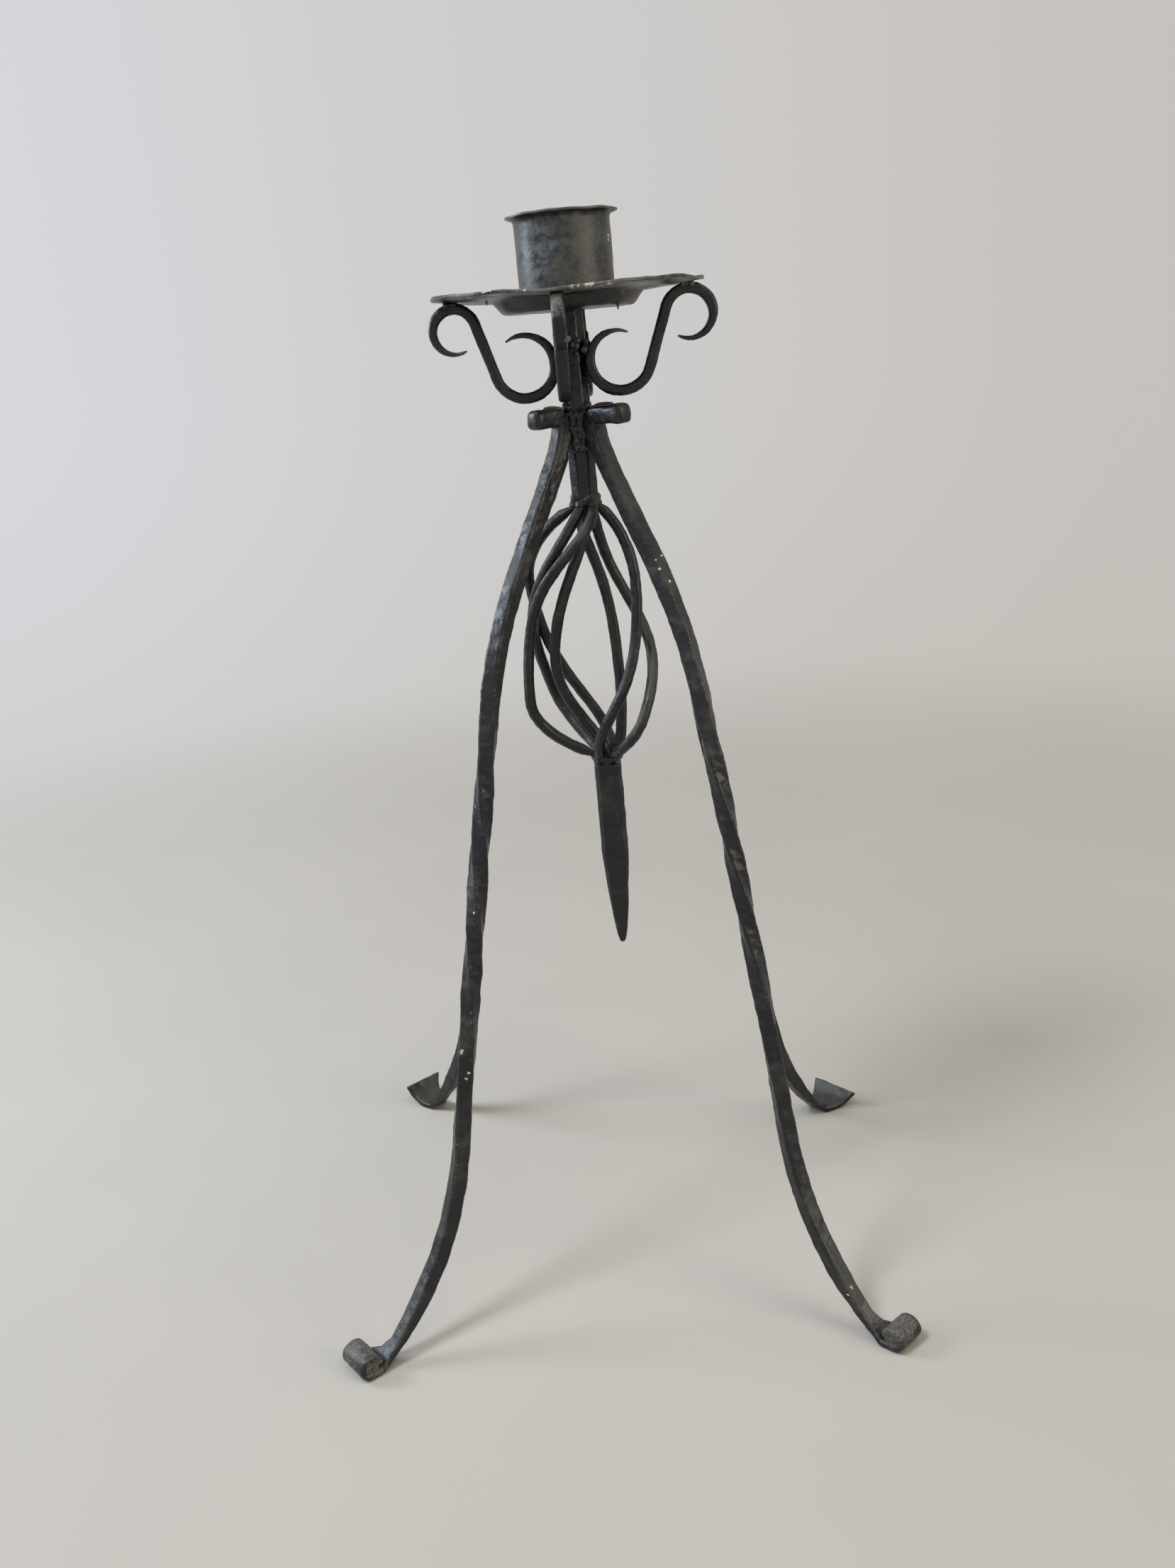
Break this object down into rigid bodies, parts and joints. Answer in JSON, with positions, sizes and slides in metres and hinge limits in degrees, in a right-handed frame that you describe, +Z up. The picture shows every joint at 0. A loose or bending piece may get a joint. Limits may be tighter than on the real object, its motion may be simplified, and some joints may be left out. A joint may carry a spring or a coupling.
{
  "type": "torchere candle stand",
  "caption": "Black forged-iron candle stand: cup and drip pan on a stem with scroll brackets, splayed legs with curled feet, and a twisted basket above a spike.",
  "frame": {"origin": "on the floor at the centre of the footprint; the stem's axis stands at x = 9.0 mm, y = -20.2 mm, because the four hand-bent feet reach out unequally", "axes": "+Z up along the stem; -Y towards the viewer, with the front legs on that side; +X to the viewer's right"},
  "size_m": [0.2992, 0.3054, 0.5343],
  "materials": {
    "black_iron": "satin",
    "dusty_iron": "satin"
  },
  "bodies": {
    "root": {"candle_cup": "dusty_iron", "drip_pan": "black_iron", "stem": "black_iron", "scroll_bracket_right": "black_iron", "scroll_bracket_back": "black_iron", "scroll_bracket_left": "black_iron", "scroll_bracket_front": "black_iron", "leg_front_left": "black_iron", "leg_front_right": "black_iron", "leg_rear_left": "black_iron", "leg_rear_right": "black_iron", "basket_top_weld": "black_iron", "basket_rod_1": "black_iron", "basket_rod_2": "black_iron", "basket_rod_3": "black_iron", "basket_rod_4": "black_iron", "basket_rod_5": "black_iron", "basket_rod_6": "black_iron", "basket_rod_7": "black_iron", "basket_bottom_weld": "black_iron", "spike": "black_iron"}
  },
  "joints": []
}
